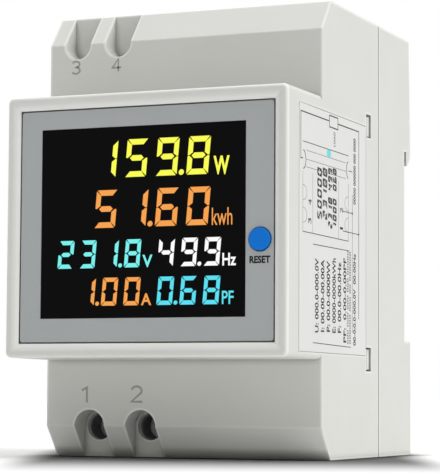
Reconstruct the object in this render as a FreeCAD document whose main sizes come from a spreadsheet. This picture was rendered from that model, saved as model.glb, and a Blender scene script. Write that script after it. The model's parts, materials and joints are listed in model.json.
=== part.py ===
"""Three-module digital power meter for a 35 mm rail, as an assembly of separate pieces.

The frame: X to the right seen from the front, Y from the front face to the rail, Z up.
The origin is the middle of the bottom face. All sizes are in millimetres.
"""
import FreeCAD, Part
import Sketcher
import math
import os
import re

# The sizes that can be set by themselves. Depths are counted from the front face.
SIZES = {
    "width": 52.5,
    "depth": 66.0,
    "height": 79.8,
    "wall": 1.6,
    "fit": 0.1,
    "nose_depth": 16.2,
    "nose_height": 45.4,
    "nose_draft": 0.4,
    "nose_corner": 1.0,
    "rim_round": 0.6,
    "chamfer_depth": 4.4,
    "chamfer_height": 5.5,
    "edge_round": 0.4,
    "seam_depth": 46.4,
    "seam_gap": 0.4,
    "rim_width": 1.3,
    "panel_margin": 2.5,
    "bevel_depth": 0.55,
    "panel_gap": 0.25,
    "panel_thickness": 0.8,
    "panel_corner": 0.5,
    "nose_floor_wall": 1.2,
    "window_width": 38.1,
    "window_height": 32.7,
    "window_shift": -0.55,
    "window_lift": 0.4,
    "window_ledge": 1.0,
    "button_diameter": 3.85,
    "button_gap": 0.15,
    "button_margin": 5.2,
    "button_drop": 3.15,
    "button_sink": 0.1,
    "button_round": 0.25,
    "button_travel": 0.3,
    "button_flange": 2.35,
    "button_flange_wall": 0.6,
    "button_stem": 0.9,
    "blind_groove_width": 5.1,
    "blind_groove_length": 8.2,
    "blind_groove_margin": 9.45,
    "blind_groove_spacing": 8.0,
    "screw_groove_width": 5.9,
    "screw_groove_length": 8.4,
    "terminal_margin": 13.45,
    "terminal_spacing": 10.0,
    "groove_wall": 1.4,
    "screw_hole": 4.9,
    "snap_depth": 39.6,
    "snap_width": 2.8,
    "snap_height": 4.3,
    "snap_spacing": 42.6,
    "snap_drop": 0.9,
    "snap_catch": 1.35,
    "tongue_wall": 1.2,
    "tongue_length": 3.2,
    "base_floor_wall": 2.9,
    "rail_recess_height": 36.5,
    "rail_recess_depth": 3.7,
    "ledge_height": 21.6,
    "hook_slot": 1.3,
    "hook_reach": 2.7,
    "hook_taper": 1.8,
    "rear_slope": 0.7,
    "latch_width": 12.0,
    "latch_flange": 1.3,
    "latch_flange_wall": 1.2,
    "latch_gap": 0.2,
    "latch_sink": 0.4,
    "latch_end": 0.6,
    "latch_travel": 3.6,
    "latch_skin": 1.2,
    "spring_room": 3.8,
    "spring_low": 7.8,
    "spring_length": 10.2,
    "spring_wire": 0.4,
    "spring_diameter": 2.7,
    "spring_turns": 9,
    "stop_rib_height": 1.5,
    "pull_slot_height": 1.8,
    "pull_slot_width": 5.6,
    "tunnel_margin": 12.75,
    "tunnel_depth": 27.5,
    "tunnel_bore": 9.6,
    "tunnel_wall": 1.2,
    "screw_head_sink": 5.1,
    "screw_head": 4.2,
    "screw_head_length": 1.9,
    "screw_shank": 3.0,
    "screw_slot": 0.6,
    "screw_slot_length": 3.0,
    "screw_slot_depth": 0.9,
    "screw_seat_wall": 0.6,
    "cage_travel": 3.0,
    "cage_plate": 1.0,
    "cage_side": 0.65,
    "cage_width": 5.8,
    "cage_height": 6.0,
    "bar_space": 1.4,
    "bar_thickness": 1.0,
    "bar_width": 4.0,
    "bar_pin": 1.2,
    "bar_pin_length": 2.4,
    "wire_space": 4.3,
    "block_wall": 1.5,
    "block_height": 10.8,
    "board_thickness": 1.6,
    "board_margin": 1.65,
    "display_board_room": 5.95,
    "display_board_gap": 0.65,
    "boss_radius": 1.9,
    "boss_margin": 3.45,
    "boss_inset": 2.2,
    "small_screw": 1.6,
    "small_screw_head": 3.2,
    "small_screw_head_wall": 1.2,
    "small_screw_length": 3.6,
    "glass_thickness": 1.1,
    "glass_ledge": 2.0,
    "glass_inset": 0.75,
    "diffuser_thickness": 3.0,
    "frame_wall": 0.6,
    "led_side": 2.0,
    "led_spacing": 11.0,
    "switch_width": 3.0,
    "switch_height": 4.2,
    "switch_depth": 1.6,
    "plunger_radius": 0.7,
    "plunger_rise": 0.7,
    "plunger_root": 0.5,
    "post_radius": 2.5,
    "post_margin": 6.25,
    "post_spacing": 30.0,
    "board_screw": 2.2,
    "board_screw_head": 4.0,
    "board_screw_head_wall": 1.6,
    "board_screw_length": 8.0,
    "link_place": -2.4,
    "link_length": 32.0,
    "chip_side": 7.0,
    "chip_wall": 1.0,
    "sensor_drop": 3.9,
    "sensor_height": 10.0,
    "sensor_radius": 10.5,
    "core_inner": 7.9,
    "core_outer": 9.7,
    "core_cover": 0.8,
    "winding_inner": 7.0,
    "bracket_wall": 1.5,
    "bracket_width": 17.0,
    "dropper_width": 13.0,
    "dropper_height": 15.0,
    "dropper_depth": 8.0,
    "capacitor_radius": 4.0,
    "capacitor_length": 12.0,
    "varistor_radius": 5.0,
    "varistor_wall": 4.0,
    "resistor_radius": 2.0,
    "resistor_length": 11.0,
    "rectifier_width": 5.0,
    "rectifier_height": 6.5,
    "rectifier_depth": 2.4,
    "crystal_radius": 1.5,
    "crystal_length": 6.0,
    "label_depth": 5.2,
    "label_length": 34.3,
    "label_drop": 0.7,
    "label_height": 41.6,
    "label_thickness": 0.1,
    "label_recess": 0.12,
}

# Planes and places that follow from the sizes, each given once and used by its name.
PLACES = {
    "front": "-depth / 2",
    "rear": "depth / 2",
    "side": "width / 2",
    "middle": "height / 2",
    "shroud": "front + nose_depth",
    "button_place": "side - button_margin",
    "blind_groove_place": "blind_groove_margin - side",
    "terminal_place": "terminal_margin - side",
    "tunnel_place": "side - tunnel_margin",
    "boss_place": "side - boss_margin",
    "post_place": "side - post_margin",
    "post_low": "middle - post_spacing / 2",
    "post_high": "middle + post_spacing / 2",
    "link_low": "middle - link_length / 2",
    "link_high": "middle + link_length / 2",
    "sensor_low": "middle - sensor_drop",
    "nose_low": "middle - nose_height / 2",
    "nose_high": "middle + nose_height / 2",
    "inner_side": "side - wall",
    "inner_top": "height - wall",
    "panel_face": "front + bevel_depth",
    "panel_back": "panel_face + panel_thickness",
    "panel_side": "side - panel_margin",
    "panel_low": "nose_low + panel_margin",
    "panel_high": "nose_high - panel_margin",
    "nose_floor": "panel_back + nose_floor_wall",
    "window_middle": "middle + window_lift",
    "window_left": "window_shift - window_width / 2",
    "window_right": "window_shift + window_width / 2",
    "window_low": "window_middle - window_height / 2",
    "window_high": "window_middle + window_height / 2",
    "button_rise": "middle - button_drop",
    "button_face": "front + button_sink",
    "groove_floor": "shroud + chamfer_depth",
    "groove_back": "groove_floor + groove_wall",
    "groove_right": "terminal_place + terminal_spacing / 2 + screw_groove_width / 2 + groove_wall",
    "screw_rise": "screw_groove_length - screw_groove_width / 2",
    "blind_rise": "height - blind_groove_length + blind_groove_width / 2",
    "housing_end": "front + seam_depth",
    "base_face": "housing_end + seam_gap",
    "tongue_side": "inner_side - fit",
    "tongue_inner": "tongue_side - tongue_wall",
    "tongue_low": "wall + fit",
    "tongue_high": "inner_top - fit",
    "snap_front": "front + snap_depth",
    "snap_back": "snap_front + snap_width",
    "snap_middle": "middle - snap_drop",
    "rail_seat": "rear - rail_recess_depth",
    "base_floor": "rail_seat - base_floor_wall",
    "slot_top": "ledge_height + rail_recess_height",
    "lip_low": "slot_top - hook_reach",
    "channel_floor": "base_floor + wall",
    "flange_face": "channel_floor + latch_gap",
    "flange_back": "flange_face + latch_flange_wall",
    "latch_back": "rear - latch_sink",
    "latch_nose_face": "rail_seat + hook_slot",
    "latch_rise": "latch_travel - 6 * fit",
    "latch_top": "ledge_height + latch_rise",
    "spring_top": "spring_low + spring_length",
    "stop_low": "spring_low - stop_rib_height",
    "pocket_back": "latch_back - latch_skin",
    "tunnel_middle": "front + tunnel_depth",
    "tunnel_outer": "tunnel_bore / 2 + tunnel_wall",
    "block_face": "groove_back + fit",
    "screw_seat": "block_face + screw_head_sink",
    "screw_face": "screw_seat - fit - screw_head_length",
    "chamber_face": "screw_seat + screw_seat_wall",
    "cage_face": "chamber_face + cage_travel + 4 * fit",
    "bar_face": "cage_face + cage_plate + bar_space",
    "bar_back": "bar_face + bar_thickness",
    "cage_grip": "bar_back + wire_space",
    "cage_back": "cage_grip + cage_plate",
    "chamber_back": "cage_back + 4 * fit",
    "main_board_face": "chamber_back + block_wall",
    "main_board_back": "main_board_face + board_thickness",
    "block_low": "wall + fit",
    "block_high": "block_low + block_height",
    "varistor_low": "block_high + 2 * wall",
    "resistor_low": "varistor_low + 2 * varistor_radius - fit",
    "cage_low": "screw_rise - cage_height / 2",
    "cage_high": "screw_rise + cage_height / 2",
    "main_board_side": "tongue_inner - board_margin / 4",
    "main_board_low": "tongue_low + fit + board_margin / 4",
    "main_board_high": "inner_top - board_margin / 2",
    "display_board_face": "nose_floor + display_board_room",
    "display_board_back": "display_board_face + board_thickness",
    "display_board_side": "inner_side - display_board_gap",
    "display_board_low": "nose_low + wall + display_board_gap",
    "display_board_high": "nose_high - wall - display_board_gap",
    "boss_low": "nose_low + wall + boss_inset",
    "boss_high": "nose_high - wall - boss_inset",
    "glass_face": "nose_floor + fit",
    "glass_back": "glass_face + 2 * glass_thickness",
    "glass_left": "window_left + glass_inset",
    "glass_right": "window_right - glass_inset",
    "glass_low": "window_low + fit",
    "glass_high": "window_high - fit",
    "diffuser_face": "glass_back + fit",
    "diffuser_back": "diffuser_face + diffuser_thickness",
    "switch_face": "display_board_face - switch_depth",
    "plunger_face": "switch_face - plunger_rise",
    "link_side": "link_place + board_thickness",
    "sensor_high": "sensor_low + sensor_height",
    "label_front": "front + label_depth",
    "label_back": "label_front + label_length",
    "label_low": "middle - label_drop - label_height / 2",
    "label_high": "label_low + label_height",
}

doc = FreeCAD.newDocument("power_meter")
sheet = doc.addObject("Spreadsheet::Sheet", "Sizes")
for row, (alias, number) in enumerate(SIZES.items(), start=1):
    sheet.set(f"A{row}", alias)
    sheet.set(f"B{row}", str(number))
    sheet.setAlias(f"B{row}", alias)
doc.recompute()


def size(alias):
    """One driving dimension as a number."""
    return float(sheet.get(alias))


def bound(formula):
    """A formula in the plain names above, written out for the spreadsheet's aliases."""
    def spell(word):
        name = word.group()
        if name in SIZES:
            return "Sizes." + name
        if name in PLACES:
            return "(" + bound(PLACES[name]) + ")"
        return name
    return re.sub(r"[a-z][a-z_0-9]*", spell, formula)


def bind(thing, target, formula):
    thing.setExpression(target, bound(str(formula)))


# Two places closer than this count as one.
NEAR = 0.01

# Sketched pieces: bodies made of pads and pockets between two planes.

PLANES = {"x": "YZ_Plane", "y": "XZ_Plane", "z": "XY_Plane"}


def new_body(label):
    body = doc.addObject("PartDesign::Body", label)
    body.Label = label
    return body


def sketch_on(body, axis, place):
    """An empty sketch square to the axis at the given place along it."""
    sketch = body.newObject("Sketcher::SketchObject", f"{body.Name}_sketch")
    plane = next(item for item in body.Origin.OriginFeatures if item.Role == PLANES[axis])
    sketch.AttachmentSupport = [(plane, "")]
    sketch.MapMode = "FlatFace"
    bind(sketch, "AttachmentOffset.Base.z", f"-({place})" if axis == "y" else place)
    return sketch


def pin_point(sketch, edge, point, across, up):
    for kind, formula in (("DistanceX", across), ("DistanceY", up)):
        index = sketch.addConstraint(Sketcher.Constraint(kind, -1, 1, edge, point, 1.0))
        bind(sketch, f"Constraints[{index}]", formula)


def shape(corners):
    """A closed outline through corners given as pairs of formulas."""
    def draw(sketch):
        count = len(corners)
        first = sketch.GeometryCount
        ring = [FreeCAD.Vector(math.cos(turn), math.sin(turn), 0)
                for turn in (2 * math.pi * step / count for step in range(count))]
        for step in range(count):
            sketch.addGeometry(Part.LineSegment(ring[step], ring[(step + 1) % count]), False)
        for step in range(count):
            following = first + (step + 1) % count
            sketch.addConstraint(Sketcher.Constraint("Coincident", first + step, 2, following, 1))
        for step, (across, up) in enumerate(corners):
            pin_point(sketch, first + step, 1, across, up)
    return draw


def box(left, right, low, high):
    return shape([(left, low), (right, low), (right, high), (left, high)])


def disc(across, up, radius):
    def draw(sketch):
        circle = Part.Circle(FreeCAD.Vector(0, 0, 0), FreeCAD.Vector(0, 0, 1), 1.0)
        edge = sketch.addGeometry(circle, False)
        pin_point(sketch, edge, 3, across, up)
        index = sketch.addConstraint(Sketcher.Constraint("Radius", edge, 1.0))
        bind(sketch, f"Constraints[{index}]", radius)
    return draw


def between(body, kind, axis, start, end, *outlines, taper=None):
    """A Pad or Pocket from the plane start up to the plane end, along the positive axis."""
    sketch = sketch_on(body, axis, start)
    for draw in outlines:
        draw(sketch)
    before = body.Shape.Volume if body.Tip else 0.0
    feature = body.newObject(f"PartDesign::{kind}", f"{body.Name}_{kind}")
    feature.Profile = sketch
    feature.Reversed = (kind == "Pad") == (axis == "y")
    bind(feature, "Length", f"({end}) - ({start})")
    if taper:
        bind(feature, "TaperAngle", taper)
    sketch.Visibility = False
    doc.recompute()
    change = body.Shape.Volume - before
    if (change > 0) != (kind == "Pad") or abs(change) < 1e-6:
        raise RuntimeError(f"{feature.Label}: the volume changed by {change:.4f}")
    return feature


def pad(body, axis, start, end, *outlines, taper=None):
    return between(body, "Pad", axis, start, end, *outlines, taper=taper)


def pocket(body, axis, start, end, *outlines, taper=None):
    return between(body, "Pocket", axis, start, end, *outlines, taper=taper)


def fillet(body, radius, chosen):
    """Round the edges of the body that the test picks out."""
    tip = body.Tip
    names = [f"Edge{n}" for n, edge in enumerate(tip.Shape.Edges, start=1) if chosen(edge)]
    if not names:
        raise RuntimeError(f"{body.Label}: no edge to round")
    feature = body.newObject("PartDesign::Fillet", f"{body.Name}_fillet")
    feature.Base = (tip, names)
    bind(feature, "Radius", radius)
    doc.recompute()
    return feature


def runs_along(edge, axis):
    """True where a straight edge lies within a few degrees of the axis."""
    if len(edge.Vertexes) != 2:
        return False
    run = edge.Vertexes[1].Point - edge.Vertexes[0].Point
    return abs(getattr(run, axis)) > 0.99 * edge.Length


def reach(form, axis):
    """The lowest and highest place of a shape's corners along the axis."""
    places = [getattr(corner.Point, axis) for corner in form.Vertexes]
    return min(places), max(places)


# Pieces cut from bars and rods: primitives joined and cut.

def named(thing, label):
    thing.Label = label
    return thing


def block(label, x_range, y_range, z_range):
    thing = doc.addObject("Part::Box", label)
    for target, base, (start, end) in (
        ("Length", "x", x_range),
        ("Width", "y", y_range),
        ("Height", "z", z_range),
    ):
        bind(thing, target, f"({end}) - ({start})")
        bind(thing, f"Placement.Base.{base}", start)
    return named(thing, label)


TURNS = {
    "x": FreeCAD.Rotation(FreeCAD.Vector(0, 1, 0), 90),
    "y": FreeCAD.Rotation(FreeCAD.Vector(1, 0, 0), -90),
    "z": FreeCAD.Rotation(),
}


def rod(label, axis, centre, start, end, radius):
    """A round bar along the axis from start to end, its centre given on the other two axes."""
    thing = doc.addObject("Part::Cylinder", label)
    thing.Placement = FreeCAD.Placement(FreeCAD.Vector(), TURNS[axis])
    others = [name for name in "xyz" if name != axis]
    for name, formula in zip(others, centre):
        bind(thing, f"Placement.Base.{name}", formula)
    bind(thing, f"Placement.Base.{axis}", start)
    bind(thing, "Height", f"({end}) - ({start})")
    bind(thing, "Radius", radius)
    return named(thing, label)


def join(label, pieces):
    thing = doc.addObject("Part::MultiFuse", label)
    thing.Shapes = pieces
    thing.Refine = True
    return named(thing, label)


def group(label, pieces):
    thing = doc.addObject("Part::Compound", label)
    thing.Links = pieces
    return named(thing, label)


def cut(label, base, tools):
    thing = doc.addObject("Part::Cut", label)
    thing.Base = base
    thing.Tool = tools[0] if len(tools) == 1 else join(f"{label}_tools", tools)
    thing.Refine = True
    return named(thing, label)


# The casing.

TERMINALS = {
    "1": "(terminal_place - terminal_spacing / 2)",
    "2": "(terminal_place + terminal_spacing / 2)",
}
BLIND_GROOVES = (
    "(blind_groove_place - blind_groove_spacing / 2)",
    "(blind_groove_place + blind_groove_spacing / 2)",
)
SNAP_LEVELS = (
    "(snap_middle - snap_spacing / 2)",
    "(snap_middle + snap_spacing / 2)",
)
BOSSES = [(x, z) for x in ("-boss_place", "boss_place") for z in ("boss_low", "boss_high")]
POSTS = [(x, z) for x in ("-post_place", "post_place") for z in ("post_low", "post_high")]


def make_front_housing():
    """Moulded shell: the nose with its rim, the stepped shrouds and the side walls."""
    body = new_body("front_housing")
    nose = sketch_on(body, "y", "shroud")
    box("-side", "side", "nose_low", "nose_high")(nose)
    form = body.newObject("PartDesign::Pad", "front_housing_nose")
    form.Profile = nose
    bind(form, "Length", "nose_depth")
    bind(form, "TaperAngle", "-nose_draft")
    nose.Visibility = False
    doc.recompute()
    fillet(body, "nose_corner", lambda edge: runs_along(edge, "y"))
    front = reach(body.Shape, "y")[0]
    fillet(body, "rim_round", lambda edge: reach(edge, "y")[1] < front + NEAR)
    pad(body, "x", "-side", "side", shape([
        ("shroud", "chamfer_height"),
        ("groove_floor", "0"),
        ("housing_end", "0"),
        ("housing_end", "height"),
        ("groove_floor", "height"),
        ("shroud", "height - chamfer_height"),
    ]))
    back = reach(body.Shape, "y")[1]
    left, right = reach(body.Shape, "x")
    fillet(body, "edge_round", lambda edge: runs_along(edge, "x")
           and edge.Length > right - left - NEAR and reach(edge, "y")[1] < back - NEAR)
    hollow_front_housing(body)
    open_front_housing(body)
    return body


def hollow_front_housing(body):
    """The space inside, which leaves the corners behind the grooves solid."""
    pocket(body, "y", "groove_back", "housing_end + wall",
           box("-inner_side", "inner_side", "wall", "inner_top"))
    pocket(body, "y", "shroud + wall", "groove_back",
           box("-inner_side", "groove_right", "screw_groove_length + groove_wall",
               "height - blind_groove_length - groove_wall"))
    pocket(body, "x", "groove_right", "inner_side", shape([
        ("shroud + wall", "chamfer_height + wall / 2"),
        ("groove_floor + wall / 2", "wall"),
        ("groove_back", "wall"),
        ("groove_back", "inner_top"),
        ("groove_floor + wall / 2", "inner_top"),
        ("shroud + wall", "height - chamfer_height - wall / 2"),
    ]))
    pocket(body, "y", "nose_floor", "shroud + wall",
           box("-inner_side", "inner_side", "nose_low + wall", "nose_high - wall"))
    pad(body, "y", "panel_back", "display_board_face",
        *[disc(x, z, "boss_radius") for x, z in BOSSES])
    pocket(body, "y", "nose_floor", "display_board_face",
           *[disc(x, z, "small_screw / 2 + fit / 2") for x, z in BOSSES])


def open_front_housing(body):
    """Grooves, holes, snap windows and the recess for the front panel."""
    pocket(body, "y", "shroud - wall", "groove_floor",
           *[box(f"{x} - blind_groove_width / 2", f"{x} + blind_groove_width / 2",
                 "blind_rise", "height + wall") for x in BLIND_GROOVES],
           *[box(f"{x} - screw_groove_width / 2", f"{x} + screw_groove_width / 2",
                 "-wall", "screw_rise") for x in TERMINALS.values()])
    pocket(body, "y", "shroud - wall", "groove_floor",
           *[disc(x, "blind_rise", "blind_groove_width / 2") for x in BLIND_GROOVES],
           *[disc(x, "screw_rise", "screw_groove_width / 2") for x in TERMINALS.values()])
    pocket(body, "y", "groove_floor - fit", "groove_back + fit",
           *[disc(x, "screw_rise", "screw_hole / 2") for x in TERMINALS.values()])
    pocket(body, "y", "front", "panel_face",
           box("-side + rim_width", "side - rim_width", "nose_low + rim_width",
               "nose_high - rim_width"),
           taper="-atan((panel_margin - rim_width) / bevel_depth)")
    pocket(body, "y", "panel_face - fit", "panel_back",
           box("-panel_side", "panel_side", "panel_low", "panel_high"))
    pocket(body, "y", "panel_back - fit", "nose_floor + fit",
           box("window_left + window_ledge", "window_right - window_ledge",
               "window_low + window_ledge", "window_high - window_ledge"),
           disc("button_place", "button_rise", "button_diameter / 2 + button_gap"))
    pocket(body, "x", "-side - wall", "side + wall",
           *[box("snap_front", "snap_back", f"{z} - snap_height / 2", f"{z} + snap_height / 2")
             for z in SNAP_LEVELS])
    pocket(body, "z", "-wall", "height + wall",
           disc("tunnel_place", "tunnel_middle", "tunnel_outer + fit / 2"))
    pocket(body, "z", "-wall", "wall + fit",
           *[box(f"{x} - cage_width / 2 + cage_side - fit", f"{x} + cage_width / 2 - cage_side + fit",
                 "bar_back - fit / 2", "cage_grip + fit / 2") for x in TERMINALS.values()])
    pocket(body, "x", "side - label_recess", "side + wall",
           box("label_front - fit", "label_back + fit", "label_low - fit", "label_high + fit"))


def make_rear_base():
    """Moulded rear shell with the rail hook, the ledge and the channel for the latch."""
    body = new_body("rear_base")
    pad(body, "x", "-side", "side", shape([
        ("base_face", "0"),
        ("rear", "0"),
        ("rear", "ledge_height"),
        ("rail_seat", "ledge_height"),
        ("rail_seat", "slot_top"),
        ("rail_seat + hook_slot", "slot_top"),
        ("rail_seat + hook_slot", "lip_low"),
        ("rear - hook_taper", "lip_low"),
        ("rear", "lip_low + hook_taper"),
        ("rear", "slot_top + hook_reach"),
        ("rear - rear_slope", "height"),
        ("base_face", "height"),
    ]))
    back = reach(body.Shape, "y")[1] - size("rear_slope")
    low, high = reach(body.Shape, "z")
    fillet(body, "edge_round", lambda edge: runs_along(edge, "x")
           and reach(edge, "y")[0] > back - NEAR
           and (reach(edge, "z")[0] < low + NEAR or reach(edge, "z")[1] > high - NEAR))
    pocket(body, "y", "base_face - fit", "base_floor",
           box("-tongue_inner", "tongue_inner", "tongue_low + tongue_wall",
               "tongue_high - tongue_wall"))
    pocket(body, "y", "base_floor - fit", "rail_seat + hook_slot",
           box("-tongue_inner", "tongue_inner", "slot_top + hook_reach",
               "tongue_high - tongue_wall"))
    pocket(body, "y", "base_floor - fit", "rail_seat + hook_slot",
           *[box(left, right, "tongue_low + tongue_wall", "ledge_height - wall")
             for left, right in (
                 ("-tongue_inner", "-latch_width / 2 - latch_flange - 2 * wall"),
                 ("latch_width / 2 + latch_flange + 2 * wall", "tongue_inner"))])
    pad(body, "y", "base_face - tongue_length", "base_face",
        box("-tongue_side", "tongue_side", "tongue_low", "tongue_high"),
        box("-tongue_inner", "tongue_inner", "tongue_low + tongue_wall",
            "tongue_high - tongue_wall"))
    add_snap_arms(body)
    pad(body, "y", "main_board_back", "base_floor + wall / 2",
        *[disc(x, z, "post_radius") for x, z in POSTS])
    pocket(body, "y", "main_board_back", "main_board_back + board_screw_length",
           *[disc(x, z, "board_screw / 2 + fit / 2") for x, z in POSTS])
    cut_latch_channel(body)
    return body


def add_snap_arms(body):
    """Four springy arms whose barbs catch in the windows of the front housing."""
    for z in SNAP_LEVELS:
        low = f"{z} - snap_height / 2 + 3 * fit"
        high = f"{z} + snap_height / 2 - 3 * fit"
        pad(body, "y", "snap_front", "base_face - tongue_length / 2",
            box("-tongue_side", "-tongue_inner", low, high),
            box("tongue_inner", "tongue_side", low, high))
        pad(body, "z", low, high, *[
            shape([(f"{hand} * (tongue_side - fit)", "snap_front + fit"),
                   (f"{hand} * (tongue_side + snap_catch)", "snap_back - 3 * fit"),
                   (f"{hand} * (tongue_side - fit)", "snap_back - 3 * fit")])
            for hand in ("1", "-1")])


def cut_latch_channel(body):
    """An undercut channel for the latch, with the rib that carries its spring."""
    pocket(body, "z", "-wall", "ledge_height + wall",
           box("-latch_width / 2 - latch_gap", "latch_width / 2 + latch_gap",
               "flange_back", "rear + wall"))
    pocket(body, "z", "-wall", "ledge_height - wall",
           box("-latch_width / 2 - latch_flange - latch_gap",
               "latch_width / 2 + latch_flange + latch_gap",
               "channel_floor", "flange_back + latch_gap"))
    pad(body, "y", "channel_floor - fit", "pocket_back - latch_gap",
        box("-spring_diameter / 2", "spring_diameter / 2", "stop_low", "spring_low"))


def make_rail_latch():
    """Sliding clip under the rail: a flanged slide with a ramped nose."""
    body = new_body("rail_latch")
    pad(body, "z", "latch_end", "ledge_height - wall - latch_gap",
        box("-latch_width / 2 - latch_flange", "latch_width / 2 + latch_flange",
            "flange_face", "flange_back"))
    pad(body, "z", "latch_end", "ledge_height - latch_gap",
        box("-latch_width / 2", "latch_width / 2", "flange_back", "latch_back"))
    pad(body, "x", "-latch_width / 2", "latch_width / 2", shape([
        ("latch_nose_face", "ledge_height - wall"),
        ("latch_back", "ledge_height - wall"),
        ("latch_back", "ledge_height + latch_rise / 3"),
        ("latch_nose_face + latch_skin / 2", "latch_top"),
        ("latch_nose_face", "latch_top"),
    ]))
    pocket(body, "y", "flange_face - fit", "pocket_back",
           box("-spring_room / 2", "spring_room / 2", "stop_low - 3 * fit", "spring_top"))
    pocket(body, "y", "flange_face - fit", "latch_back + fit",
           box("-pull_slot_width / 2", "pull_slot_width / 2", "latch_end + wall",
               "latch_end + wall + pull_slot_height"))
    return body


def arc_between(start, corner, end):
    """The arc that leaves start towards the corner and arrives at end away from it."""
    chord_middle = (start + end) * 0.5
    rise = corner - chord_middle
    half_chord = (end - start).Length / 2
    half_turn = math.atan2(rise.Length, half_chord)
    top = chord_middle + rise.normalize() * (half_chord * math.tan(half_turn / 2))
    return Part.Arc(start, top, end).toShape()


def biarc(start, along_start, end, along_end):
    """Two arcs that join two points of a coil with one smooth bend."""
    step = end - start
    turned = 2 * (1 - along_start.dot(along_end))
    lean = step.dot(along_start + along_end)
    arm = (-lean + math.sqrt(lean * lean + turned * step.dot(step))) / turned
    middle = (start + end + (along_start - along_end) * arm) * 0.5
    return [arc_between(start, start + along_start * arm, middle),
            arc_between(middle, end - along_end * arm, end)]


def make_latch_spring():
    """Compression spring: one round wire in even turns round an upright axis."""
    wire = size("spring_wire")
    radius = (size("spring_diameter") - wire) / 2
    turns = int(size("spring_turns"))
    low = size("spring_low") + wire / 2 + size("fit") / 2
    climb = size("spring_length") - wire - size("fit")
    steps_a_turn = 4
    steps = turns * steps_a_turn
    rise = climb / (2 * math.pi * turns)

    def on_coil(step):
        turn = 2 * math.pi * step / steps_a_turn
        point = FreeCAD.Vector(radius * math.cos(turn), radius * math.sin(turn), low + rise * turn)
        along = FreeCAD.Vector(-radius * math.sin(turn), radius * math.cos(turn), rise)
        return point, along.normalize()

    edges = []
    for step in range(steps):
        edges += biarc(*on_coil(step), *on_coil(step + 1))
    point, along = on_coil(0)
    profile = Part.Wire([Part.Circle(point, along, wire / 2).toShape()])
    coil = Part.Wire(edges).makePipeShell([profile], True, False)
    gap = climb / turns - wire
    print(f"latch_spring: least gap between turns {gap:.2f} mm")
    thing = doc.addObject("Part::Feature", "latch_spring")
    thing.Shape = coil
    centre = (size("depth") / 2 - size("latch_sink") - size("latch_skin") - size("fit") * 2
              - size("spring_diameter") / 2)
    thing.Placement = FreeCAD.Placement(FreeCAD.Vector(0, centre, 0), FreeCAD.Rotation())
    return named(thing, "latch_spring")


# The front panel, the display and the reset button.

def make_panel_overlay():
    """Flat face plate with the cut-outs for the display window and the button."""
    body = new_body("panel_overlay")
    pad(body, "y", "panel_face", "panel_back",
        box("-panel_side + panel_gap", "panel_side - panel_gap",
            "panel_low + panel_gap", "panel_high - panel_gap"))
    fillet(body, "panel_corner", lambda edge: runs_along(edge, "y"))
    pocket(body, "y", "panel_face - fit", "panel_back + fit",
           box("window_left", "window_right", "window_low", "window_high"),
           disc("button_place", "button_rise", "button_diameter / 2 + button_gap"))
    return body


def make_display_window():
    gap = "fit / 2"
    body = new_body("display_window")
    pad(body, "y", "panel_face", "panel_back",
        box(f"window_left + {gap}", f"window_right - {gap}",
            f"window_low + {gap}", f"window_high - {gap}"))
    return body


def make_lcd_glass():
    """Two glass plates, the rear one longer for the contacts."""
    front_plate = block("lcd_front_plate", ("glass_left", "glass_right"),
                        ("glass_face", "glass_face + glass_thickness"),
                        ("glass_low + glass_ledge", "glass_high"))
    rear_plate = block("lcd_rear_plate", ("glass_left", "glass_right"),
                       ("glass_face + glass_thickness", "glass_back"),
                       ("glass_low", "glass_high"))
    return join("lcd_glass", [front_plate, rear_plate])


def make_lcd_frame():
    """Holder round the glass and the diffuser, standing on the display board."""
    body = new_body("lcd_frame")
    pad(body, "y", "glass_face", "display_board_face",
        box("glass_left - fit - frame_wall", "glass_right + fit + frame_wall",
            "glass_low - fit - frame_wall", "glass_high + fit + frame_wall"),
        box("glass_left - fit", "glass_right + fit", "glass_low - fit", "glass_high + fit"))
    return body


def make_backlight():
    diffuser = block("backlight_diffuser", ("glass_left", "glass_right"),
                     ("diffuser_face", "diffuser_back"), ("glass_low", "glass_high"))
    leds = [block(f"backlight_led_{number}",
                  (f"{x} - led_side / 2", f"{x} + led_side / 2"),
                  ("diffuser_back", "display_board_face"),
                  ("window_middle - led_side / 2", "window_middle + led_side / 2"))
            for number, x in enumerate(("window_shift - led_spacing", "window_shift",
                                        "window_shift + led_spacing"), start=1)]
    return [diffuser, group("backlight_leds", leds)]


def make_display_board():
    """Board behind the display, with its controller and its screws."""
    board = cut("display_board",
                block("display_board_blank", ("-display_board_side", "display_board_side"),
                      ("display_board_face", "display_board_back"),
                      ("display_board_low", "display_board_high")),
                [rod(f"display_board_hole_{number}", "y", (x, z), "display_board_face - fit",
                     "display_board_back + fit", "small_screw / 2 + fit")
                 for number, (x, z) in enumerate(BOSSES, start=1)])
    screws = []
    for number, (x, z) in enumerate(BOSSES, start=1):
        head = rod(f"small_screw_head_{number}", "y", (x, z), "display_board_back",
                   "display_board_back + small_screw_head_wall", "small_screw_head / 2")
        shank = rod(f"small_screw_shank_{number}", "y", (x, z),
                    "display_board_face - small_screw_length", "display_board_back",
                    "small_screw / 2")
        screws.append(join(f"small_screw_{number}", [head, shank]))
    chip = block("display_controller", ("window_shift + chip_side", "window_shift + 2 * chip_side"),
                 ("display_board_back", "display_board_back + chip_wall"),
                 ("window_middle - chip_side / 2", "window_middle + chip_side / 2"))
    return [board, group("display_board_screws", screws), chip]


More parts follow.
